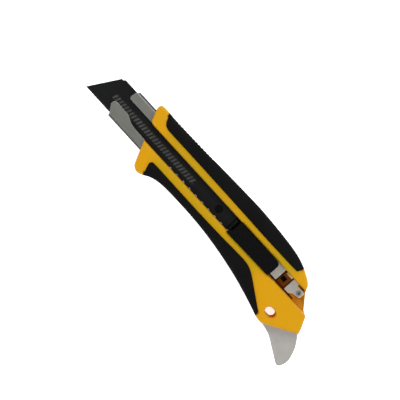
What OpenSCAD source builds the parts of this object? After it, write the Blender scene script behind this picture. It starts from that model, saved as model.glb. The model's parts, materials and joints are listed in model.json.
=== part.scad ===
// Heavy-duty snap-off knife with an automatic lock, lying on its thumb-slider side.
// +X runs from the blade tip to the tail, +Y from cutting edge to spine, +Z away from the slider side.
// Drawn from the blade tip (x = 0, y = 0 on the cutting edge), then moved so that the origin is
// the bottom centre of the whole knife. All sizes are in millimetres.

/* [Blade] */
// Width from the cutting edge to the spine
blade_w = 18; // [17.6:0.1:18.2]
// Thickness
blade_t = 0.5; // [0.4:0.05:0.6]
// Length from the tip to the rear end
blade_len = 106.5; // [104:0.5:106.5]
// Length of one snap-off segment
segment_len = 10; // [8:1:12]
// Angle between a score line and the cutting edge
score_angle = 59; // [55:1:62]
// Depth of a score line
score_depth = 0.12; // [0.05:0.01:0.2]
// Radius of the hole that the holder's stud stands in
blade_hole_r = 2.2; // [1.8:0.1:2.2]

/* [Sheath] */
// Thickness of the steel sheet
sheet_t = 0.8; // [0.6:0.05:0.9]
// Outer radius of the bends along the channel
bend_r = 1.6; // [1.2:0.1:1.6]
// Height of the space inside the channel
channel_h = 3.5; // [3.4:0.1:4]
// Distance between two lock notches
notch_pitch = 5; // [4:0.5:5]

/* [Handle] */
// Depth of the thumb track below the grips' faces
track_depth = 5; // [4.9:0.1:6]
// Thickness of the wall under the sheath
wall_t = 1.6; // [1.2:0.1:2.5]
// Thickness of the strips that hold the sheath down
strip_t = 2.3; // [1.8:0.1:3]
// How far the grips stand proud of the strips
grip_proud = 1; // [0.9:0.1:2]
// Thickness of the soft skin around the handle's edge
skin_t = 1.6; // [1.2:0.1:2]
// Length of the lanyard slot
lanyard_len = 6.5; // [5.5:0.1:7]
// Width of the lanyard slot
lanyard_w = 4.6; // [4:0.1:4.8]

/* [Tail pick] */
// Thickness of the steel plate
pick_t = 2; // [1.5:0.1:3]

/* [Slider] */
// Travel that pushes more blade out
travel_out = 45; // [30:5:45]
// Travel that draws the blade in
travel_in = 20; // [10:5:20]
// Travel of the thumb button when pressed
press = 1.2; // [0.8:0.1:1.2]
// Length of the thumb button
button_len = 30; // [27:1:30]
// Width of the thumb button
button_w = 11.2; // [10.6:0.1:11.2]
// Gap between the slider and what it runs past
run_gap = 0.3; // [0.25:0.05:0.35]

/* [Hidden] */
$fn = 48;
curve_steps = 5;
bend_steps = 6;
far = 40;
fit = 0.05;

// Levels above the rest plane
core_z0 = 3;
body_z0 = 1.2;
sheath_z0 = track_depth + wall_t;
floor_z = sheath_z0 + sheet_t;
lip_z = floor_z + channel_h;
sheath_z1 = lip_z + sheet_t;
body_z1 = sheath_z1 + strip_t;
core_z1 = body_z1 - 1.2;
grip_z1 = body_z1 + grip_proud;
blade_z = lip_z - run_gap - blade_t;
pick_z = (body_z0 + body_z1 - pick_t) / 2;

// Places along and across the knife
channel_y = [-1.68, 19.22];
channel_end = 143;
plate_end = 155.5;
plate_y = [4.9, 13.6];
tongue_end = 161.2;
tongue_y = [6.9, 11.3];
catch_x = [145, 151.7];
catch_y = [4.9, 12.6];
rivet_at = [158.9, 9];
window_y = [3.75, 12.6];
relief_x = 139.5;
relief_z = 5.8;
first_notch = 62.8;
notch_tip_y = 4.25;
notch_root_y = 3.1;
notches = 14;
tooth_x = first_notch + 9.5 * notch_pitch;
rivet_r = 1;
rivet_z0 = 3.6;
slider_y = 8.1;
stud_at = [96.4, slider_y];
stud_r = 1.3;
block_x = [109.6, 139.9];
neck_x = [99, 119.5];
neck_w = 4.6;
button_x = 94;
stem_x = [103, 115];
stem_r = 1.2;
leaf_x = [101.5, 134];
leaf_z = floor_z + 1.1;
leaf_t = 0.4;
leaf_w = 3.4;
leaf_held = 7;
hook_x = [105, 113];
hook_y = [slider_y - 2.9, slider_y + 2.9];
mortise_z = floor_z + 0.6;
hook_z = mortise_z + 0.3;
lanyard_at = [155.45, -8.75];

// A smooth curve through the points p, in n steps between each two
function blend(a, b, c, d, t) = 0.5 * (2 * b + (c - a) * t + (2 * a - 5 * b + 4 * c - d) * t * t
    + (3 * b - a - 3 * c + d) * t * t * t);
function smooth(p, n = curve_steps) = [
    for (i = [0 : len(p) - 2])
        for (s = [0 : n - 1])
            blend(p[max(i - 1, 0)], p[i], p[i + 1], p[min(i + 2, len(p) - 1)], s / n),
    p[len(p) - 1]
];
// Points of an arc about the centre c
function arc(c, r, from, to, n = bend_steps) = [
    for (i = [0 : n]) c + r * [cos(from + (to - from) * i / n), sin(from + (to - from) * i / n)]
];
// A rectangle from a to b with corners of radius r
function round_box(a, b, r) = concat(
    arc([a[0] + r, a[1] + r], r, 180, 270), arc([b[0] - r, a[1] + r], r, 270, 360),
    arc([b[0] - r, b[1] - r], r, 0, 90), arc([a[0] + r, b[1] - r], r, 90, 180)
);
function side(p, i) = [for (q = p) q[i]];

// Outline of the whole handle, counter-clockwise from the guard
belly_edge = smooth([[55.7, -9.4], [60.2, -6.9], [67, -5.5], [80, -5.1], [96, -5.5], [112, -7.1],
    [127.7, -9.7], [141.6, -13], [151.5, -15.9]]);
tail_edge = smooth([[172.9, -2.1], [170.6, 2], [169.9, 3.3], [168.8, 4.1], [167.5, 4.8]]);
tail_top = smooth([[160.5, 12.6], [159.4, 13.7], [158.8, 15.2], [156.3, 17.4], [150.3, 20.35]]);
spine_edge = smooth([[150.3, 20.35], [143.6, 22.3], [133.7, 23.6], [113.8, 24.7], [94, 24.4], [70, 23.7],
    [50, 23.3], [41.3, 23.4]]);
nose_edge = smooth([[41.3, 23.4], [37.2, 23.5], [35.4, 22.9], [34.7, 21.2], [35.5, 18.3], [37.5, 14],
    [38.4, 13], [40.1, 12.6]]);
guard_edge = smooth([[42.4, 3.8], [44.8, -1.6], [48.1, -8.4], [49.8, -10.1], [52, -10.75],
    [54, -10.25], [55.7, -9.4]]);
pick_line = [[156.4, -16.3], [174.3, -5.7]];
handle_outline = concat(belly_edge, [[154, -16.4]], pick_line, tail_edge, tail_top, spine_edge,
    nose_edge, guard_edge);

// Areas that the two grips cover, drawn past the handle's edge
spine_area = concat(
    [[37.9, far], [37.9, 28.5]],
    smooth([[41.3, 23.2], [42.4, 20.9], [43.5, 18.9], [44.7, 17.5], [46.5, 16.8], [49.5, 16.5], [70, 16.5],
        [100, 16.3], [126, 16], [146.9, 16.2], [148.9, 16.6], [149.7, 18], [150.3, 20.8]]),
    [[150.7, far]]
);
belly_area = concat(
    [[58.2, -far], [55.8, -9.6]],
    smooth([[55.5, -8.9], [53.4, -3.4], [53.6, -1.6], [55.9, -0.6], [70, -0.6], [90, -0.65], [108, -0.4],
        [119.8, 0], [127.3, -0.1], [132.8, -1.8], [140.8, -6.7], [149.1, -12], [150.7, -13.3],
        [151.1, -14.6], [151.2, -16.5]]),
    [[151.2, -far]]
);

pick_edge = smooth([pick_line[0], [161.3, -17.1], [165.1, -18.3], [173.6, -23], [177.3, -25.1],
    [179.3, -25.7], [180.9, -24.4], [181.8, -20.9], [181.2, -17.1], [178.8, -11.6], pick_line[1]]);

// Middle of the whole knife in plan
mid_x = max(side(pick_edge, 0)) / 2;
mid_y = (max(side(spine_edge, 1)) + min(side(pick_edge, 1))) / 2;

module place() {
    translate([-mid_x, -mid_y, 0]) children();
}

module slab(z0, z1) {
    translate([0, 0, z0]) linear_extrude(z1 - z0) children();
}

module box(a, b) {
    translate(a) cube(b - a);
}

module along_x(x0, x1) {
    translate([x0, 0, 0]) rotate([90, 0, 90]) linear_extrude(x1 - x0) children();
}

module post(at, r, z0, z1) {
    translate([at[0], at[1], z0]) cylinder(r = r, h = z1 - z0);
}

// ---- Handle ----

module core(z0, z1) {
    slab(z0, z1) offset(delta = -skin_t) polygon(handle_outline);
}

// Track for the thumb button, as long as the button and its travel
module thumb_track() {
    gap = 0.4;
    y = [for (s = [-1, 1]) slider_y + s * (button_w / 2 + gap)];
    slab(-1, track_depth) polygon(round_box([button_x - travel_out - gap, y[0]],
        [button_x + button_len + travel_in + gap, y[1]], 3));
}

// Slot for the slider's neck, through the wall and the sheath's floor
module neck_slot(z0, z1) {
    w = neck_w / 2 + 0.2;
    slab(z0, z1) polygon(round_box([neck_x[0] - travel_out - run_gap, slider_y - w],
        [neck_x[1] + travel_in + run_gap, slider_y + w], 0.5));
}

module pick_tang() {
    difference() {
        slab(pick_z, pick_z + pick_t)
            polygon([[162.6, -13.8], [173.2, -7.4], [171.6, -4.6], [170, -2.4], [160.7, -7.6]]);
        for (at = [[164.4, -8.6], [169, -6]])
            post(at, 1.1, pick_z - 1, pick_z + pick_t + 1);
    }
}

module lanyard_slot() {
    half = (lanyard_len - lanyard_w) / 2;
    for (s = [-1, 1])
        post(lanyard_at + [s * half, 0], lanyard_w / 2, -1, far);
    box([lanyard_at[0] - half, lanyard_at[1] - lanyard_w / 2, -1],
        [lanyard_at[0] + half, lanyard_at[1] + lanyard_w / 2, far]);
}

module handle_body() {
    color("goldenrod") place() difference() {
        union() {
            difference() {
                handle_solid();
                sheath_pocket();
            }
            catch();
        }
        thumb_track();
        neck_slot(track_depth - 1, sheath_z0 + 1);
        lanyard_slot();
        pick_tang();
        post(rivet_at, rivet_r, rivet_z0 - 0.1, sheath_z0 + 1);
        // hole through the middle of the catch's frame
        box([catch_x[0] + 1.2, catch_y[0] + 2.1, relief_z - 1],
            [catch_x[0] + 4.3, catch_y[0] + 4.8, floor_z]);
    }
}

// Handle before it is cut: the yellow skin, and the core that the grips wrap
module handle_solid() {
    slab(body_z0, body_z1) difference() {
        polygon(handle_outline);
        polygon(spine_area);
        polygon(belly_area);
    }
    core(core_z0, core_z1);
}

// Pocket of the sheath, and the space that its floor plate and the slider need behind it
module sheath_pocket() {
    low_y = window_y[0] + 0.2;
    box([-1, channel_y[0] - fit, sheath_z0], [channel_end + fit, channel_y[1] + fit, sheath_z1]);
    box([channel_end - 1, plate_y[0] - fit, sheath_z0], [plate_end + fit, plate_y[1] + fit, floor_z]);
    box([channel_end - 1, low_y, sheath_z0], [far * 5, window_y[1], far]);
    box([-1, window_y[0], sheath_z1 - 1], [channel_end + fit, window_y[1], far]);
    box([catch_x[0] + fit, catch_y[0] + 0.2, relief_z], [catch_x[1] - fit, catch_y[1] - 0.2, sheath_z0 + 1]);
    // narrow grooves beside the floor plate and the tongue
    box([relief_x, low_y, relief_z], [rivet_at[0], plate_y[0], sheath_z0 + 1]);
    box([plate_end + 0.4, tongue_y[1] + 0.3, relief_z - 1], [rivet_at[0] + 1, window_y[1], sheath_z0 + 1]);
}

// Moulded catch that snaps into the window of the sheath, with a ramp along its upper side
module catch() {
    ramp_w = 1.1;
    z0 = relief_z - 0.2;
    x = [catch_x[0] + 0.9, catch_x[1] - 0.7];
    y = [catch_y[0] + 0.1, catch_y[1] - 0.1];
    box([x[0], y[0], z0], [x[1], y[1], floor_z - 0.1]);
    box([x[0] + 0.6, y[1] - ramp_w, z0], [x[1] - 0.2, y[1], floor_z + 0.1]);
}

// A grip wraps the handle's core over its area
module grip(area) {
    difference() {
        slab(0, grip_z1) intersection() {
            polygon(handle_outline);
            polygon(area);
        }
        core(core_z0, core_z1);
    }
}

module spine_grip() {
    color([0.1, 0.1, 0.11]) place() grip(spine_area);
}

module belly_grip() {
    color([0.14, 0.14, 0.15]) place() grip(belly_area);
}

module tail_pick() {
    color("silver") place() union() {
        slab(pick_z, pick_z + pick_t) polygon(pick_edge);
        pick_tang();
    }
}

// ---- Sheath ----

module channel_ring() {
    along_x(10, channel_end) difference() {
        polygon(round_box([channel_y[0], sheath_z0], [channel_y[1], sheath_z1], bend_r));
        polygon(round_box([channel_y[0] + sheet_t, floor_z], [channel_y[1] - sheet_t, lip_z],
            bend_r - sheet_t));
    }
}

function notch_edge(i) = let (x = first_notch + i * notch_pitch) [
    [x - 1.5, notch_root_y], [x - 0.45, notch_tip_y], [x + 0.45, notch_tip_y], [x + 1.5, notch_root_y]
];

lower_lip = concat(
    [[20.4, -4], [18.7, 0.5], [16, 3.8]],
    smooth([[15.9, 4.4], [16.2, 5.8], [17.2, 6.6]]),
    smooth([[26, 6.6], [27.6, 6.2], [31.6, 4.5], [36, 4]]),
    [[42, 4], [45, notch_root_y]],
    [for (i = [0 : notches - 1]) each notch_edge(i)],
    [[channel_end + 1, notch_root_y], [channel_end + 1, -4]]
);

upper_lip = concat(
    smooth([[22.3, 13.02], [21.2, 13.2], [20.6, 14], [20.6, 15.4], [21.2, 17.7], [21.7, 18.3]]),
    [[24, 21], [channel_end + 1, 21], [channel_end + 1, 13.02]]
);

// Floor plate and tongue that reach behind the channel
plate = concat(
    [[channel_end - 1, plate_y[0]], [plate_end - 0.7, plate_y[0]], [plate_end + 1.6, tongue_y[0] - 0.3]],
    arc([tongue_end - 1, tongue_y[0] + 1.3], 1, -80, 0),
    arc([tongue_end - 0.8, tongue_y[1] - 0.8], 0.8, 0, 90),
    [[plate_end, tongue_y[1]], [plate_end, plate_y[1]], [channel_end - 1, plate_y[1]]]
);

module sheath() {
    mid_z = (floor_z + lip_z) / 2;
    color("lightgray") place() difference() {
        union() {
            intersection() {
                channel_ring();
                slab(mid_z, far) union() {
                    polygon(lower_lip);
                    polygon(upper_lip);
                }
            }
            intersection() {
                channel_ring();
                slab(0, mid_z) polygon([[20, -4], [channel_end + 1, -4], [channel_end + 1, 22], [23.6, 22]]);
            }
            slab(sheath_z0, floor_z) polygon(plate);
        }
        neck_slot(sheath_z0 - 1, floor_z + 1);
        box([relief_x, window_y[0] - 1.5, sheath_z0 - 1], [channel_end + 1, plate_y[0], floor_z + 1]);
        box([catch_x[0], catch_y[0], sheath_z0 - 1], [catch_x[1], catch_y[1], floor_z + 1]);
        post(rivet_at, rivet_r + fit, sheath_z0 - 1, floor_z + 1);
    }
}

module tail_rivet() {
    color("gray") place() difference() {
        union() {
            post(rivet_at, rivet_r, rivet_z0, floor_z + 0.1);
            post(rivet_at, rivet_r + 0.6, floor_z, floor_z + 0.2);
        }
        post(rivet_at, rivet_r - 0.35, rivet_z0 + 1.4, floor_z + 1);
    }
}

// ---- Blade ----

module blade_plan() {
    snap_notch = 1;
    lean = 1 / tan(score_angle);
    corner = 1.5;
    notch_x = (blade_w - snap_notch) * lean;
    polygon([[0, 0], [blade_len - corner, 0], [blade_len, corner], [blade_len, blade_w - corner],
        [blade_len - corner, blade_w], [notch_x + 2 * snap_notch, blade_w],
        [notch_x + snap_notch, blade_w - snap_notch], [notch_x, blade_w - snap_notch]]);
}

module blade() {
    lean = blade_w / tan(score_angle);
    ground = 1.6;
    half = 0.15;
    color([0.15, 0.15, 0.16]) place() difference() {
        intersection() {
            slab(blade_z, blade_z + blade_t) blade_plan();
            along_x(-1, blade_len + 1) polygon([[0, blade_z + blade_t / 2], [ground, blade_z],
                [blade_w + 1, blade_z], [blade_w + 1, blade_z + blade_t], [ground, blade_z + blade_t]]);
        }
        for (x = [segment_len : segment_len : 8 * segment_len])
            slab(blade_z - 1, blade_z + score_depth) polygon([[x - half, -0.01], [x + half, -0.01],
                [x + lean + half, blade_w + 0.01], [x + lean - half, blade_w + 0.01]]);
        post(stud_at, blade_hole_r, blade_z - 1, blade_z + 1);
    }
}

// ---- Slider ----

// Room that the neck, the leaf spring and its flexing take inside the holder
module holder_hollows() {
    half = neck_w / 2;
    box([neck_x[0], slider_y - half, 0], [neck_x[1], slider_y + half, blade_z + 1]);
    box([hook_x[0], hook_y[0], mortise_z], [hook_x[1], hook_y[1], hook_z]);
    box([neck_x[0], slider_y - leaf_w / 2 - 0.2, 0],
        [leaf_x[1] - leaf_held, slider_y + leaf_w / 2 + 0.2, blade_z]);
    box([leaf_x[0], slider_y - leaf_w / 2, leaf_z], [leaf_x[1], slider_y + leaf_w / 2, leaf_z + leaf_t]);
}

module blade_holder() {
    z0 = floor_z + 0.4;
    wide_end = channel_end - travel_in - 0.8;
    shank_y = [notch_tip_y + 0.25, window_y[1] - run_gap];
    wing_z = body_z1 + run_gap;
    color([0.08, 0.08, 0.08]) place() difference() {
        union() {
            // bed under the blade, and the shoulders behind it
            slab(z0, blade_z) polygon(round_box([88, 1], [block_x[0] + 1, 17.2], 2));
            slab(z0, lip_z - run_gap) polygon(round_box([block_x[0], 0.4], [wide_end, 17.7], 1));
            post(stud_at, stud_r, blade_z - 1, blade_z + blade_t - 0.1);
            // block that stands in the window, with a wing over the lower strip
            slab(z0, grip_z1 - 0.1) polygon(concat([[block_x[0] + 1.2, shank_y[0]]],
                arc([block_x[1] - 0.8, shank_y[0] + 0.8], 0.8, 270, 360),
                arc([block_x[1] - 1.8, shank_y[1] - 1.8], 1.8, 0, 90),
                arc([block_x[0] + 1, shank_y[1] - 1], 1, 90, 180),
                [[block_x[0], shank_y[0] + 1.6]]));
            slab(wing_z, grip_z1 - 0.1) polygon([[block_x[0] - 2, 3.2], [block_x[0], 2.9],
                [block_x[1] - 0.6, 3.5], [block_x[1], 4.2], [block_x[1] - 1, shank_y[0] + 1],
                [block_x[0], shank_y[0] + 1.6], [block_x[0] - 1.6, 4]]);
        }
        holder_hollows();
        // clearance around the lock tooth
        box([block_x[0] - 2, 3, blade_z], [tooth_x + 1.3, 5.6, wing_z - 0.3]);
    }
}

module slider_base() {
    z0 = 3.6;
    z1 = track_depth - run_gap;
    inset = 1.6;
    half = neck_w / 2;
    color([0.2, 0.2, 0.2]) place() difference() {
        union() {
            slab(z0, z1) polygon(round_box([button_x + inset, slider_y - button_w / 2 + inset],
                [button_x + button_len - inset, slider_y + button_w / 2 - inset], 1.5));
            box([neck_x[0], slider_y - half, z0], [neck_x[1], slider_y + half, mortise_z]);
            box([hook_x[0], hook_y[0], mortise_z], [hook_x[1], hook_y[1], hook_z]);
        }
        for (x = stem_x)
            post([x, slider_y], stem_r + fit, 0, far);
    }
}

// Leaf spring: anchored in the holder's rear, bent up behind the blade, with a tooth at its end
module lock_spring() {
    rise_x = blade_len + 0.5;
    top_z = lip_z + 0.7;
    color("lightsteelblue") place() union() {
        box([leaf_x[0], slider_y - leaf_w / 2, leaf_z], [leaf_x[1], slider_y + leaf_w / 2, leaf_z + leaf_t]);
        box([rise_x, slider_y - leaf_w / 2, leaf_z], [rise_x + leaf_t, slider_y + leaf_w / 2, top_z]);
        slab(top_z - leaf_t, top_z) polygon([[rise_x, 4.7], [tooth_x - 0.8, 4.45], [tooth_x - 0.5, 3.9],
            [tooth_x + 0.5, 3.9], [tooth_x + 0.8, 4.45], [tooth_x + 0.8, 5.3], [rise_x + 1.5, 5.6],
            [rise_x + 1.5, 11.2], [rise_x, 11.2]]);
    }
}

module thumb_button() {
    shell_z = [0.9, 2.1];
    skirt = 1.3;
    plan = [[button_x, slider_y - button_w / 2], [button_x + button_len, slider_y + button_w / 2]];
    color("gold") place() union() {
        difference() {
            slab(shell_z[0], track_depth - press - run_gap) polygon(round_box(plan[0], plan[1], 2.6));
            slab(shell_z[1], far) polygon(round_box(plan[0] + [skirt, skirt], plan[1] - [skirt, skirt], 1.6));
            slab(0, shell_z[0] + 0.3) pad_plan();
        }
        for (x = stem_x) {
            post([x, slider_y], stem_r, shell_z[1] - 0.2, leaf_z - 0.1);
            post([x, slider_y], stem_r + 0.3, mortise_z + fit, leaf_z - 0.1);
        }
    }
}

module pad_plan() {
    polygon(round_box([button_x + 2, slider_y - button_w / 2 + 1.6],
        [button_x + button_len - 2, slider_y + button_w / 2 - 1.6], 1.6));
}

module thumb_pad() {
    rib_pitch = 2.6;
    color([0.12, 0.12, 0.12]) place() union() {
        slab(0.7, 1.2) pad_plan();
        for (i = [0 : 7])
            box([button_x + 5 + i * rib_pitch, slider_y - 3.2, 0.3],
                [button_x + 6.2 + i * rib_pitch, slider_y + 3.2, 0.8]);
    }
}

handle_body();
spine_grip();
belly_grip();
sheath();
tail_rivet();
tail_pick();
blade();
blade_holder();
slider_base();
lock_spring();
thumb_button();
thumb_pad();
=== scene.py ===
import json
import math

import bmesh
import bpy
import numpy as np
from mathutils import Matrix, Vector
from mathutils.geometry import delaunay_2d_cdt


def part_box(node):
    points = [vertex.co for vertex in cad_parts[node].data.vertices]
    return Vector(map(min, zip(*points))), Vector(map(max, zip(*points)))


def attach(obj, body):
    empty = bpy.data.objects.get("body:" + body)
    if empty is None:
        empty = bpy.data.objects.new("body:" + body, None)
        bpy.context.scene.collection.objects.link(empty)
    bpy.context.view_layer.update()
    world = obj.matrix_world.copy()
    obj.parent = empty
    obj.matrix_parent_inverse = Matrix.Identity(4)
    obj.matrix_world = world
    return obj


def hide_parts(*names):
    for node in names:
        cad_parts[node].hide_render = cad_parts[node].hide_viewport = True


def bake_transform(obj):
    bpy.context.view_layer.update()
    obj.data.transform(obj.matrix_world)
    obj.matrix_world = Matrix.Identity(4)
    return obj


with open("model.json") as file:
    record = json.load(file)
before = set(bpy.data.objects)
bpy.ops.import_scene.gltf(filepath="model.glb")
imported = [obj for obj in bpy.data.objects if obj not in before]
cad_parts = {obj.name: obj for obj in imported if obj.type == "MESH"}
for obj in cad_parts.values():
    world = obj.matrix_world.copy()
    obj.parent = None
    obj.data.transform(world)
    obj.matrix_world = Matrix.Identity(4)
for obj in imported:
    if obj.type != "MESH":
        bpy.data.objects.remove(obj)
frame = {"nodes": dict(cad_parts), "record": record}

# Looks of a snap-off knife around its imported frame: +X runs from the blade's tip to the tail, +Y from the
# cutting edge to the spine, and the knife lies on its thumb-slider side. Lengths are in metres.
MM = 0.001
SHARP = math.radians(35)
scene = bpy.context.scene
nodes = frame["nodes"]
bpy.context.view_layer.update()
blade_lo, blade_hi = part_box("blade")
body_lo, body_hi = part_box("handle_body")
spine_lo, spine_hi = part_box("spine_grip")
belly_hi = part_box("belly_grip")[1]
sheath_lo, sheath_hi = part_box("sheath")


# ---- Camera, floor and light ----

def make_camera():
    """Above the handle and a little to its spine side, turned so that the blade points up and left."""
    height, lens, sensor = 500 * MM, 84.2, 36
    turn, lean = math.radians(47.5), math.radians(2.5)
    aim = Vector((blade_lo.x + 86.05 * MM, blade_lo.y + 4.07 * MM, body_hi.z - 1 * MM))
    away = height + blade_hi.z - aim.z
    data = bpy.data.cameras.new("camera")
    data.sensor_width = sensor
    data.lens = lens
    data.dof.use_dof = False
    camera = bpy.data.objects.new("camera", data)
    leaned = Matrix.Translation(aim) @ Matrix.Rotation(-lean, 4, "X")
    camera.matrix_world = leaned @ Matrix.Translation((0, 0, away)) @ Matrix.Rotation(turn, 4, "Z")
    scene.collection.objects.link(camera)
    scene.camera = camera


def make_floor():
    """A wide white floor that glows a little, so that it stays pale to its edges."""
    half = 2.5
    corners = [(-half, -half, 0), (half, -half, 0), (half, half, 0), (-half, half, 0)]
    mesh = bpy.data.meshes.new("floor")
    mesh.from_pydata(corners, [], [(0, 1, 2, 3)])
    floor = bpy.data.objects.new("floor", mesh)
    scene.collection.objects.link(floor)
    paint = bpy.data.materials.new("floor_white")
    paint.use_nodes = True
    shader = paint.node_tree.nodes["Principled BSDF"]
    shader.inputs["Base Color"].default_value = (0.9, 0.9, 0.9, 1)
    shader.inputs["Roughness"].default_value = 0.9
    shader.inputs["Specular IOR Level"].default_value = 0.1
    shader.inputs["Emission Color"].default_value = (1, 1, 1, 1)
    shader.inputs["Emission Strength"].default_value = 0.75
    mesh.materials.append(paint)


def area_light(name, at, size, power):
    data = bpy.data.lights.new(name, "AREA")
    data.shape = "DISK"
    data.size = size
    data.energy = power
    light = bpy.data.objects.new(name, data)
    light.location = at
    light.rotation_euler = (-Vector(at)).to_track_quat("-Z", "Y").to_euler()
    scene.collection.objects.link(light)


def make_lights():
    """A tent of soft light, darker straight overhead, and three wide lamps around it."""
    lamp_size, overhead, tent_power = 0.7, 0.33, 0.75
    area_light("key", (-0.35, 0.75, 0.75), lamp_size, 7)
    area_light("fill", (0.8, 0.1, 0.7), lamp_size, 4)
    area_light("rim", (-0.3, -0.8, 0.6), lamp_size, 4)
    world = bpy.data.worlds.new("tent")
    world.use_nodes = True
    scene.world = world
    tree = world.node_tree
    place = tree.nodes.new("ShaderNodeTexCoord")
    split = tree.nodes.new("ShaderNodeSeparateXYZ")
    ramp = tree.nodes.new("ShaderNodeValToRGB")
    ramp.color_ramp.elements[0].position = 0.55
    ramp.color_ramp.elements[0].color = (1, 1, 1, 1)
    ramp.color_ramp.elements[1].position = 0.97
    ramp.color_ramp.elements[1].color = (overhead, overhead, overhead, 1)
    tree.links.new(place.outputs["Generated"], split.inputs[0])
    tree.links.new(split.outputs["Z"], ramp.inputs[0])
    tree.links.new(ramp.outputs[0], tree.nodes["Background"].inputs["Color"])
    tree.nodes["Background"].inputs["Strength"].default_value = tent_power
    scene.view_settings.view_transform = "Standard"


# ---- Materials ----

class Paint:
    """A procedural material: a Principled shader, and helpers that add variation and grain to it."""

    def __init__(self, name, color, roughness, metallic=0.0, specular=0.5):
        self.material = bpy.data.materials.new(name)
        self.material.use_nodes = True
        self.tree = self.material.node_tree
        self.shader = self.tree.nodes["Principled BSDF"]
        self.color = tuple(color) + (1,)
        self.roughness = roughness
        self.shader.inputs["Base Color"].default_value = self.color
        self.shader.inputs["Roughness"].default_value = roughness
        self.shader.inputs["Metallic"].default_value = metallic
        self.shader.inputs["Specular IOR Level"].default_value = specular
        self.place = self.tree.nodes.new("ShaderNodeTexCoord").outputs["Object"]
        self.height = None

    def node(self, kind, **settings):
        made = self.tree.nodes.new(kind)
        for key, value in settings.items():
            setattr(made, key, value)
        return made

    def link(self, a, b):
        self.tree.links.new(a, b)

    def maths(self, operation, a, b=0.0):
        """One Math node; a and b are sockets or numbers."""
        made = self.node("ShaderNodeMath", operation=operation)
        for socket, value in zip(made.inputs, (a, b)):
            if isinstance(value, (int, float)):
                socket.default_value = value
            else:
                self.link(value, socket)
        return made.outputs[0]

    def noise(self, size, stretch=(1, 1, 1), detail=3.0):
        """Noise whose features are size metres across, drawn out along an axis by stretch."""
        mapping = self.node("ShaderNodeMapping")
        mapping.inputs["Scale"].default_value = [1 / (size * s) for s in stretch]
        self.link(self.place, mapping.inputs["Vector"])
        noise = self.node("ShaderNodeTexNoise")
        noise.inputs["Scale"].default_value = 1
        noise.inputs["Detail"].default_value = detail
        self.link(mapping.outputs[0], noise.inputs["Vector"])
        return noise.outputs["Fac"]

    def spread(self, value, low, high, start=0.3, end=0.7):
        """value from start to end becomes low to high."""
        made = self.node("ShaderNodeMapRange")
        for socket, number in zip(made.inputs[1:5], (start, end, low, high)):
            socket.default_value = number
        self.link(value, made.inputs[0])
        return made.outputs[0]

    def tint(self, mask, color):
        """Mixes color over the base colour where mask is 1."""
        mix = self.node("ShaderNodeMix", data_type="RGBA")
        base = self.shader.inputs["Base Color"]
        if base.is_linked:
            self.link(base.links[0].from_socket, mix.inputs[6])
        else:
            mix.inputs[6].default_value = self.color
        mix.inputs[7].default_value = tuple(color) + (1,)
        self.link(mask, mix.inputs[0])
        self.link(mix.outputs[2], base)

    def vary_roughness(self, value, amount):
        rough = self.spread(value, self.roughness - amount, self.roughness + amount)
        self.link(rough, self.shader.inputs["Roughness"])

    def bump(self, value, depth):
        """Adds a height of depth metres to what is already there."""
        part = self.maths("MULTIPLY", value, depth)
        self.height = part if self.height is None else self.maths("ADD", self.height, part)

    def axis(self, name):
        if not hasattr(self, "split"):
            self.split = self.node("ShaderNodeSeparateXYZ")
            self.link(self.place, self.split.inputs[0])
        return self.split.outputs[name]

    def facing_up(self):
        """The Z part of the surface's normal."""
        split = self.node("ShaderNodeSeparateXYZ")
        self.link(self.node("ShaderNodeTexCoord").outputs["Normal"], split.inputs[0])
        return split.outputs["Z"]

    def above(self, name, level, soft):
        """1 past level along an axis and 0 before it, turning over soft on either side."""
        return self.spread(self.axis(name), 0, 1, level - soft, level + soft)

    def below(self, name, level, soft):
        """1 before level along an axis and 0 past it, turning over soft on either side."""
        return self.spread(self.axis(name), 1, 0, level - soft, level + soft)

    def band(self, name, low, high, soft):
        """1 between low and high along an axis, turning to 0 over soft on either side of each."""
        return self.both(self.above(name, low, soft), self.below(name, high, soft))

    def both(self, a, b):
        """1 where the masks a and b are both 1."""
        return self.maths("MULTIPLY", a, b)

    def either(self, a, b):
        """1 where the mask a or the mask b is 1."""
        return self.maths("MAXIMUM", a, b)

    def done(self):
        if self.height is not None:
            bump = self.node("ShaderNodeBump")
            bump.inputs["Strength"].default_value = 1
            bump.inputs["Distance"].default_value = 1
            self.link(self.height, bump.inputs["Height"])
            self.link(bump.outputs[0], self.shader.inputs["Normal"])
        return self.material


# Painted light: the first ten colours paint shade on the catch, its pit and its hole, a highlight on the
# catch's ramp, a glow in the lanyard slot, a highlight on the sheath's back plate, shade along its bends
# and highlights on its rims; the last two are the blade's own keen edge and etching.
CATCH_PAINTED_SHADE = (0.16, 0.045, 0.003)
RAMP_PAINTED_HIGHLIGHT = (1.0, 0.80, 0.36)
PIT_PAINTED_SHADE = (0.12, 0.034, 0.002)
HOLE_PAINTED_SHADE = (0.01, 0.004, 0.002)
THROAT_PAINTED_GLOW = (0.85, 0.30, 0.001)
PLATE_PAINTED_HIGHLIGHT = (0.85, 0.82, 0.74)
UPPER_BEND_PAINTED_SHADE = (0.13, 0.13, 0.125)
LOWER_BEND_PAINTED_SHADE = (0.10, 0.10, 0.095)
BEND_SHADE = (0.035, 0.035, 0.035)
RIM_PAINTED_HIGHLIGHT = (0.9, 0.9, 0.88)
KEEN_GREY = (0.035, 0.035, 0.036)
ETCHED_GREY = (0.075, 0.075, 0.072)


def scaled(color, factor):
    return [c * factor for c in color]


def slot_centre():
    """Where the lanyard slot opens in the upper face."""
    mounts = {mount["name"]: mount for mount in frame["record"]["mounts"]}
    return Vector(mounts["lanyard_slot"]["pos_m"])


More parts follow.
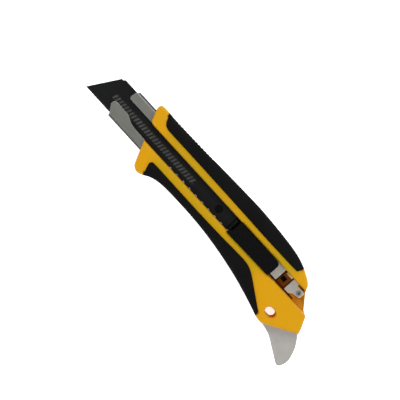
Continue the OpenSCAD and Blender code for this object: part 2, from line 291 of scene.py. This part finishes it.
def moulded_yellow(name, color):
    """Satin glass-filled nylon: eroded grain and faint flow marks, with painted light: painted shade that
    makes the recesses a deeper orange and darkens the strips beside the channel and the sides that turn
    away from above, a painted highlight on the catch's ramp, and a painted glow in the lanyard slot.
    """
    red, green, blue = color
    shine = 0.14
    paint = Paint(name, color, 0.42, specular=shine)
    tip, edge = blade_lo.x, blade_lo.y

    # Painted shade: the two strips beside the channel are painted a little darker and greener
    upper_strip = paint.both(paint.band("X", tip + 48 * MM, tip + 149 * MM, 3 * MM),
                             paint.band("Y", edge + 11 * MM, edge + 18 * MM, 1 * MM))
    lower_strip = paint.both(paint.band("X", tip + 54 * MM, tip + 134 * MM, 5 * MM),
                             paint.band("Y", edge - 3 * MM, edge + 6 * MM, 1 * MM))
    paint.tint(paint.either(upper_strip, lower_strip), (red * 0.73, green * 0.95, blue))
    paint.tint(paint.spread(paint.noise(14 * MM, (2.5, 1, 1)), 0, 0.5), (red * 1.04, green * 0.9, blue))
    paint.tint(paint.spread(paint.noise(0.5 * MM), 0, 0.16, 0.45, 0.75), scaled(color, 0.7))

    # Painted shade in the recess behind the channel, and on the catch in the channel's window with its pit
    # and hole; a painted highlight on the catch's ramp
    slot = paint.band("Y", edge + 3.4 * MM, edge + 13 * MM, 0.2 * MM)
    recess_shade = paint.both(slot, paint.band("Z", sheath_lo.z - 2 * MM, sheath_hi.z - 1 * MM, 1 * MM))
    paint.tint(recess_shade, (red * 0.82, green * 0.6, blue * 0.6))
    window = paint.band("X", sheath_hi.x - 16.3 * MM, sheath_hi.x - 9.4 * MM, 0.1 * MM)
    catch = paint.both(paint.both(slot, window), paint.below("Z", sheath_lo.z + 0.975 * MM, 0.125 * MM))
    # Painted shade: the catch deep in the window is painted brown
    paint.tint(catch, CATCH_PAINTED_SHADE)
    # Painted highlight on the catch's ramp
    paint.tint(paint.both(catch, paint.above("Z", sheath_lo.z + 0.76 * MM, 0.04 * MM)), RAMP_PAINTED_HIGHLIGHT)
    pit = paint.band("Z", sheath_lo.z - 1.6 * MM, sheath_lo.z - 0.3 * MM, 0.15 * MM)
    # Painted shade in the pit around the catch
    paint.tint(paint.both(slot, pit), PIT_PAINTED_SHADE)
    # Painted shade, near black, down the catch's hole
    paint.tint(paint.both(catch, paint.below("Z", sheath_lo.z - 1.5 * MM, 0.1 * MM)), HOLE_PAINTED_SHADE)

    # Painted glow: the lanyard slot's wall is painted a bright orange for light bounced around inside it,
    # and doesn't mirror the floor
    eye = slot_centre()
    throat = paint.both(paint.band("X", eye.x - 3.3 * MM, eye.x + 3.3 * MM, 0.05 * MM),
                        paint.band("Y", eye.y - 2.3 * MM, eye.y + 2.3 * MM, 0.05 * MM))
    throat = paint.both(throat, paint.band("Z", body_lo.z + 0.9 * MM, body_hi.z - 0.6 * MM, 0.2 * MM))
    paint.tint(throat, THROAT_PAINTED_GLOW)
    paint.link(paint.spread(throat, shine, 0, 0, 1), paint.shader.inputs["Specular IOR Level"])

    # Painted shade: sides that turn away from above are painted deeper in colour
    side_shade = paint.spread(paint.facing_up(), 1, 0, 0.15, 0.75)
    side_shade = paint.both(side_shade, paint.maths("SUBTRACT", 1.0, paint.either(throat, recess_shade)))
    paint.tint(side_shade, (red * 0.74, green * 0.68, blue))
    paint.vary_roughness(paint.noise(1.2 * MM), 0.07)
    paint.bump(paint.noise(0.28 * MM), 0.012 * MM)
    paint.bump(paint.noise(5 * MM), 0.03 * MM)
    return paint.done()


def soft_rubber(name, color):
    """Matt elastomer with a fine leathery grain, rubbed a little smoother in patches."""
    paint = Paint(name, color, 0.72, specular=0.07)
    paint.tint(paint.spread(paint.noise(9 * MM, (2, 1, 1)), 0, 0.6), scaled(color, 1.5))
    paint.tint(paint.spread(paint.noise(0.35 * MM), 0, 0.5, 0.5, 0.8), scaled(color, 1.9))
    paint.vary_roughness(paint.noise(6 * MM), 0.09)
    cells = paint.node("ShaderNodeTexVoronoi", feature="SMOOTH_F1")
    cells.inputs["Scale"].default_value = 1 / (0.55 * MM)
    paint.link(paint.place, cells.inputs["Vector"])
    paint.bump(cells.outputs["Distance"], 0.05 * MM)
    paint.bump(paint.noise(0.2 * MM), 0.012 * MM)
    return paint.done()


def folded_steel(name, color):
    """The channel's sheet: brushed, with painted light: a painted highlight that makes the plate behind the
    channel paler, painted shade that makes it darker where it is bent, and painted highlights on the lips'
    front rims.
    """
    paint = Paint(name, color, 0.36, metallic=1.0)
    brush(paint, color, (40, 1, 1))
    # Painted highlight: the plate behind the channel is painted paler
    paint.tint(paint.above("X", sheath_hi.x - 22 * MM, 0.2 * MM), PLATE_PAINTED_HIGHLIGHT)
    # Painted shade along both bends, for the dark that they reflect
    paint.tint(paint.above("Y", sheath_hi.y - 1.3 * MM, 0.15 * MM), UPPER_BEND_PAINTED_SHADE)
    paint.tint(paint.above("Y", sheath_hi.y - 0.975 * MM, 0.125 * MM), BEND_SHADE)
    paint.tint(paint.below("Y", sheath_lo.y + 1.375 * MM, 0.225 * MM), LOWER_BEND_PAINTED_SHADE)
    paint.tint(paint.below("Y", sheath_lo.y + 0.925 * MM, 0.125 * MM), BEND_SHADE)
    # Painted highlight on the lips' front rims
    rims = paint.both(paint.band("Z", sheath_hi.z - 0.25 * MM, sheath_hi.z - 0.02 * MM, 0.01 * MM),
                      paint.below("X", sheath_lo.x + 5.5 * MM, 0.5 * MM))
    inner = paint.band("Y", sheath_lo.y + 1.5 * MM, sheath_hi.y - 1.5 * MM, 0.1 * MM)
    paint.tint(paint.both(rims, inner), RIM_PAINTED_HIGHLIGHT)
    return paint.done()


def brushed_steel(name, color, roughness, grain):
    """Rolled and brushed steel strip or bar."""
    paint = Paint(name, color, roughness, metallic=1.0)
    brush(paint, color, grain)
    return paint.done()


def brush(paint, color, grain):
    """Long fine lines, faint stains, and uneven polish."""
    red, green, blue = color
    lines = paint.noise(0.12 * MM, grain, 4)
    stains = paint.noise(8 * MM, (2, 1, 1))
    paint.tint(paint.spread(lines, 0, 0.75), scaled(color, 0.78))
    paint.tint(paint.spread(stains, 0, 0.6), (red * 0.86, green * 0.85, blue * 0.78))
    paint.vary_roughness(lines, 0.08)
    paint.bump(lines, 0.004 * MM)


def blasted_steel(name, color):
    """Bead-blasted stainless plate with a few handling scratches."""
    paint = Paint(name, color, 0.5, metallic=0.85, specular=0.4)
    paint.tint(paint.spread(paint.noise(0.3 * MM), 0, 0.3), scaled(color, 0.85))
    paint.tint(paint.spread(paint.noise(11 * MM), 0, 0.5), scaled(color, 0.9))
    scratches = paint.noise(0.25 * MM, (1.5, 45, 1.5), 2)
    paint.tint(paint.spread(scratches, 0, 0.35, 0.66, 0.74), scaled(color, 1.25))
    paint.vary_roughness(paint.noise(2 * MM), 0.06)
    paint.bump(paint.noise(0.22 * MM), 0.008 * MM)
    return paint.done()


def black_blade(name, color):
    """Black-oxide blade: grinding lines across it, a keen edge, and a plain hatched band etched in grey."""
    paint = Paint(name, color, 0.4, metallic=0.35, specular=0.2)
    lines = paint.noise(0.15 * MM, (1, 25, 1), 3)
    paint.tint(paint.spread(lines, 0, 0.5), scaled(color, 1.35))
    paint.tint(paint.spread(paint.noise(7 * MM), 0, 0.6), scaled(color, 0.75))
    paint.tint(paint.below("Y", blade_lo.y + 0.35 * MM, 0.1 * MM), KEEN_GREY)
    pitch, slant = 2.1 * MM, 0.36
    skewed = paint.maths("SUBTRACT", paint.axis("X"), paint.maths("MULTIPLY", paint.axis("Y"), slant))
    wave = paint.maths("PINGPONG", paint.maths("ADD", skewed, 1.0), pitch / 2)
    bars = paint.spread(wave, 0, 1, pitch * 0.16, pitch * 0.24)
    along = paint.band("X", blade_lo.x + 14 * MM, blade_lo.x + 77 * MM, 0.2 * MM)
    across = paint.band("Y", blade_lo.y + 6.3 * MM, blade_lo.y + 9.5 * MM, 0.12 * MM)
    etched = paint.both(bars, paint.both(along, across))
    etched = paint.both(etched, paint.spread(paint.noise(1.2 * MM), 0.5, 1))
    paint.tint(etched, ETCHED_GREY)
    paint.vary_roughness(lines, 0.07)
    paint.bump(lines, 0.003 * MM)
    return paint.done()


def moulded_black(name, color):
    """Satin black moulding with an eroded grain and faint rub marks along the travel."""
    paint = Paint(name, color, 0.45, specular=0.08)
    paint.tint(paint.spread(paint.noise(0.5 * MM), 0, 0.4), scaled(color, 1.5))
    rubs = paint.noise(0.3 * MM, (30, 1, 1), 2)
    paint.tint(paint.spread(rubs, 0, 0.5, 0.58, 0.72), scaled(color, 2.2))
    paint.vary_roughness(paint.noise(1.5 * MM), 0.08)
    paint.bump(paint.noise(0.3 * MM), 0.012 * MM)
    return paint.done()


YELLOW = (0.555, 0.278, 0.002)
RUBBER = (0.0026, 0.0026, 0.0026)
LOOKS = {
    "yellow_plastic": lambda: moulded_yellow("yellow_plastic", YELLOW),
    "black_grip": lambda: soft_rubber("black_grip", RUBBER),
    "sheath_steel": lambda: folded_steel("sheath_steel", (0.42, 0.42, 0.39)),
    "rivet_steel": lambda: brushed_steel("rivet_steel", (0.45, 0.45, 0.44), 0.4, (1, 1, 6)),
    "pick_steel": lambda: blasted_steel("pick_steel", (0.50, 0.48, 0.455)),
    "blade_steel": lambda: black_blade("blade_steel", (0.0078, 0.008, 0.0082)),
    "black_plastic": lambda: moulded_black("black_plastic", (0.0018, 0.0018, 0.0018)),
    "spring_steel": lambda: brushed_steel("spring_steel", (0.03, 0.03, 0.033), 0.3, (12, 1, 1)),
    "button_plastic": lambda: moulded_yellow("button_plastic", YELLOW),
    "pad_rubber": lambda: soft_rubber("pad_rubber", scaled(RUBBER, 1.4)),
}


# In millimetres: how far each of these nodes' edges are rounded
EDGES = {
    "sheath": 0.22,
    "tail_rivet": 0.08,
    "tail_pick": 0.35,
    "blade": 0.04,
    "blade_holder": 0.3,
    "slider_base": 0.15,
    "thumb_button": 0.4,
    "thumb_pad": 0.2,
}


# ---- Rounded pieces made from the frame's own sections ----

def node_mesh(name):
    """The CAD node as one welded bmesh, in millimetres."""
    mesh = bmesh.new()
    mesh.from_mesh(nodes[name].data)
    bmesh.ops.scale(mesh, vec=(1 / MM,) * 3, verts=mesh.verts)
    bmesh.ops.remove_doubles(mesh, verts=mesh.verts, dist=1e-4)
    return mesh


def cut(mesh, z, up):
    """Removes what lies above z (below it, if up is -1), and gives the cut as closed loops of points."""
    geometry = mesh.verts[:] + mesh.edges[:] + mesh.faces[:]
    made = bmesh.ops.bisect_plane(mesh, geom=geometry, dist=1e-5, plane_co=(0, 0, z), plane_no=(0, 0, up),
                                  clear_outer=True)
    beside = {}
    for edge in made["geom_cut"]:
        if isinstance(edge, bmesh.types.BMEdge):
            a, b = edge.verts
            beside.setdefault(a, []).append(b)
            beside.setdefault(b, []).append(a)
    loops = []
    while beside:
        start = next(iter(beside))
        loop, at, last = [], start, None
        while at in beside:
            loop.append(at.co.xy.to_tuple())
            following = [v for v in beside.pop(at) if v is not last]
            at, last = following[0], at
        loops.append(np.array(loop))
    return loops


def resampled(loop, step):
    """The loop with no side longer than step."""
    points = []
    for a, b in zip(loop, np.roll(loop, -1, axis=0)):
        count = max(1, math.ceil(np.linalg.norm(b - a) / step))
        points += [a + (b - a) * i / count for i in range(count)]
    return np.array(points)


def area(loop):
    """The area inside a loop, positive if it runs counter-clockwise."""
    x, y = loop.T
    return (x @ np.roll(y, -1) - y @ np.roll(x, -1)) / 2


def inside(points, loops):
    """Even-odd test of points against closed loops."""
    odd = np.zeros(len(points), bool)
    for loop in loops:
        for (ax, ay), (bx, by) in zip(loop, np.roll(loop, -1, axis=0)):
            if ay != by:
                crosses = (ay > points[:, 1]) != (by > points[:, 1])
                odd ^= crosses & (points[:, 0] < (bx - ax) * (points[:, 1] - ay) / (by - ay) + ax)
    return odd


def distance(points, sides):
    """Distance from each point to the nearest of the sides, an array of (ax, ay, bx, by)."""
    nearest = np.full(len(points), np.inf)
    for side in sides:
        a, d = side[:2], side[2:] - side[:2]
        t = np.clip((points - a) @ d / max(d @ d, 1e-12), 0, 1)
        nearest = np.minimum(nearest, np.hypot(*(points - a - t[:, None] * d).T))
    return nearest


def sides_of(loops):
    """Every side of the loops, as (ax, ay, bx, by)."""
    return np.vstack([np.hstack([loop, np.roll(loop, -1, axis=0)]) for loop in loops])


def oriented(loops):
    """Loops with the material on their left: outer ones counter-clockwise, holes clockwise."""
    result = []
    for i, loop in enumerate(loops):
        hole = inside(loop[:1], loops[:i] + loops[i + 1:])[0]
        result.append(loop if (area(loop) > 0) != hole else loop[::-1])
    return result


def lid(loops, width, z_rim, z_top, spacing):
    """A rounded lid over the loops: it rises from z_rim to z_top over the width that each side is given.

    Gives its points, its triangles, and how many of its first points are the loops' own."""
    sides = sides_of(loops)
    widths = width((sides[:, :2] + sides[:, 2:]) / 2)
    groups = [(w, sides[widths == w]) for w in sorted(set(widths))]
    rim = np.vstack(loops)
    normals = np.vstack([inward(loop) for loop in loops])
    rim_width = width(rim)
    layers = [rim]

    # Rings of points inside the rim, closest together where the lid is steepest
    for share in (0.03, 0.12, 0.28, 0.5, 0.75, 1.0):
        layer = rim + normals * (rim_width * share)[:, None]
        far = distance(layer, sides) > 0.9 * rim_width * share
        layers.append(layer[far & inside(layer, loops)][:: 1 if share < 0.4 else 2])

    # A staggered grid over the rest
    low, high = rim.min(0), rim.max(0)
    rows = enumerate(np.arange(low[1], high[1], spacing))
    columns = np.arange(low[0], high[0], spacing)
    grid = np.array([(x + (row % 2) * spacing / 2, y) for row, y in rows for x in columns])
    depth = distance(grid, sides)
    layers.append(grid[inside(grid, loops) & (depth > min(widths) * 1.2)])

    edges, start = [], 0
    for loop in loops:
        edges += [(start + i, start + (i + 1) % len(loop)) for i in range(len(loop))]
        start += len(loop)
    made = delaunay_2d_cdt([Vector(p) for p in np.vstack(layers)], edges, [], 1, 1e-4)
    points = np.array([p.to_tuple() for p in made[0]])
    faces = np.array([f for f in made[2] if len(f) == 3])
    faces = faces[inside(points[faces].mean(1), loops)]

    # Each kind of side gives a quarter of an ellipse
    rise = np.ones(len(points))
    for w, group in groups:
        t = np.clip(distance(points, group) / w, 0, 1)
        rise *= np.sqrt(np.clip(1 - (1 - t) ** 2, 0, 1))
    return np.column_stack([points, z_rim + (z_top - z_rim) * rise]), faces, len(rim)


def inward(loop):
    """Unit normals to the left of an oriented loop, at its points."""
    along = np.roll(loop, -1, axis=0) - np.roll(loop, 1, axis=0)
    left = np.column_stack([-along[:, 1], along[:, 0]])
    return left / np.maximum(np.linalg.norm(left, axis=1), 1e-9)[:, None]


def add_faces(mesh, points, faces, flip=False):
    verts = [mesh.verts.new(p) for p in points]
    for face in faces:
        corners = [verts[i] for i in face]
        mesh.faces.new(corners[::-1] if flip else corners)
    return verts


def finish_piece(mesh, name, look):
    """Turns a bmesh in millimetres into a smooth piece with its sharp edges kept."""
    bmesh.ops.remove_doubles(mesh, verts=mesh.verts, dist=2e-3)
    bmesh.ops.scale(mesh, vec=(MM,) * 3, verts=mesh.verts)
    for face in mesh.faces:
        face.smooth = True
    data = bpy.data.meshes.new(name)
    mesh.to_mesh(data)
    mesh.free()
    data.set_sharp_from_angle(angle=SHARP)
    data.materials.append(look)
    piece = bpy.data.objects.new(name, data)
    scene.collection.objects.link(piece)
    return piece


def make_handle(look):
    """The yellow moulding, with its faces rounded down to every edge."""
    mesh = node_mesh("handle_body")
    soft, step, spacing = 1.9, 0.7, 1.6
    top, bottom = body_hi.z / MM, body_lo.z / MM
    tail_x, belly_y = belly_hi.x / MM - 22, belly_hi.y / MM
    slot = slot_centre() / MM
    grips = np.vstack([upper_sides(name) for name in ("spine_grip", "belly_grip")])

    eye_width, slope_width, seam_width, outer_width = 0.35, 2.2, 0.7, 1.6

    def width(points):
        x, y = points.T
        eye = np.hypot(x - slot.x, y - slot.y) < 4
        seam = distance(points, grips) < 0.05
        slope = seam & (x > tail_x) & (y < belly_y - 1)
        channel = (y > sheath_lo.y / MM + 3) & (y < sheath_hi.y / MM - 3)
        return np.select([eye, slope, seam | channel], [eye_width, slope_width, seam_width], outer_width)

    for z, rim, up in ((top, top - soft, 1), (bottom, bottom + soft, -1)):
        loops = oriented([resampled(loop, step) for loop in cut(mesh, rim, up)])
        points, faces, _ = lid(loops, width, rim, z, spacing)
        add_faces(mesh, points, faces, up < 0)
    piece = finish_piece(mesh, "handle_moulding", look)
    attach(piece, "handle")
    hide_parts("handle_body")


def make_grip(node, name, look, ribs):
    """A soft grip: crowned over its outer edge, crisp along the yellow moulding, and ribbed where asked."""
    mesh = node_mesh(node)
    low, high = [corner.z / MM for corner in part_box(node)]
    soft, step, spacing = 2.0, 0.55, 0.9
    seam_width, outer_width = 0.9, 4.0
    seams = upper_sides("handle_body")
    loops = cut(mesh, high - soft, 1)
    cut(mesh, low + soft, -1)
    faces = list(mesh.faces)
    centres = np.array([f.calc_center_median().xy.to_tuple() for f in faces])

    def on_seam(points):
        return distance(points, seams) < 0.02

    outer = (distance(centres, sides_of(loops)) < 1e-3) & ~on_seam(centres)
    walls = [face for face, out in zip(faces, outer) if out and abs(face.normal.z) < 0.1]
    bmesh.ops.delete(mesh, geom=walls, context="FACES")

    outline = oriented([resampled(loop, step) for loop in loops])[0]
    outline = outline + inward(outline) * (ribs(outline) * ~on_seam(outline))[:, None]

    def width(points):
        return np.where(on_seam(points), seam_width, outer_width)

    rims = []
    for z, rim, up in ((high, high - soft, 1), (low, low + soft, -1)):
        points, faces, count = lid([outline], width, rim, z, spacing)
        rims.append(add_faces(mesh, points, faces, up < 0)[:count])
    upper, lower = rims
    along_seam = on_seam((outline + np.roll(outline, -1, axis=0)) / 2)
    for i in np.flatnonzero(~along_seam):
        j = (i + 1) % len(upper)
        mesh.faces.new([upper[i], lower[i], lower[j], upper[j]])
    piece = finish_piece(mesh, name, look)
    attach(piece, "handle")
    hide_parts(node)


def upper_sides(name):
    """The sides of a node's upper part in plan; the grips meet the yellow moulding along some of them."""
    mesh = node_mesh(name)
    loops = cut(mesh, body_hi.z / MM - 0.5, 1)
    mesh.free()
    return sides_of(loops)


def make_grips(look):
    """Both grips; the spine grip has a run of fine ribs behind its front end."""
    run, pitch, depth = 34, 2.2, 0.3
    start = spine_lo.x / MM + 1.5

    def spine_ribs(points):
        x = points[:, 0] - start
        wave = 0.5 - 0.5 * np.cos(2 * math.pi * x / pitch)
        return depth * wave * ((x > 0) & (x < run) & (points[:, 1] > spine_hi.y / MM - 4))

    make_grip("spine_grip", "spine_grip_rubber", look, spine_ribs)
    make_grip("belly_grip", "belly_grip_rubber", look, lambda points: np.zeros(len(points)))


def make_spring(look):
    """The leaf spring: it is held at its tail end, and its free end rises with the button."""
    edge, step = 0.06, 0.8
    mesh = node_mesh("lock_spring")
    bmesh.ops.dissolve_limit(mesh, angle_limit=math.radians(1), verts=mesh.verts, edges=mesh.edges)
    corners = [e for e in mesh.edges if len(e.link_faces) == 2 and e.calc_face_angle() > SHARP]
    bmesh.ops.bevel(mesh, geom=corners, offset=edge, segments=2, profile=0.5, affect="EDGES",
                    clamp_overlap=True)
    press = next(j for j in frame["record"]["behaviour"]["joints"] if j["name"] == "button_press")
    held = press["deforming_nodes"][0]["fixed_end_x_m"]
    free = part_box("thumb_button")[1].x - 7.4 * MM
    for x in np.arange(free / MM, held / MM, step):
        bmesh.ops.bisect_plane(mesh, geom=mesh.verts[:] + mesh.edges[:] + mesh.faces[:], dist=1e-5,
                               plane_co=(x, 0, 0), plane_no=(1, 0, 0))
    piece = finish_piece(mesh, "lock_spring_leaf", look)
    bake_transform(piece)
    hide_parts("lock_spring")


# ---- CAD nodes that stay, with their edges broken ----

def dress(name, look, edge):
    """Gives a CAD node its look, and rounds its edges without changing its mesh."""
    node = nodes[name]
    node.data.materials.clear()
    node.data.materials.append(look)
    weld = node.modifiers.new("weld", "WELD")
    weld.merge_threshold = 1e-6
    flat = node.modifiers.new("flat", "DECIMATE")
    flat.decimate_type = "DISSOLVE"
    flat.angle_limit = math.radians(1)
    bevel = node.modifiers.new("edges", "BEVEL")
    bevel.width = edge
    bevel.segments = 3
    bevel.limit_method = "ANGLE"
    bevel.angle_limit = SHARP
    bevel.harden_normals = False


def main():
    make_camera()
    make_floor()
    make_lights()
    looks = {slot: make() for slot, make in LOOKS.items()}
    make_handle(looks["yellow_plastic"])
    make_grips(looks["black_grip"])
    make_spring(looks["spring_steel"])
    slots = {part["node"]: part["material_slot"] for part in frame["record"]["subparts"]}
    for name, edge in EDGES.items():
        dress(name, looks[slots[name]], edge * MM)


main()
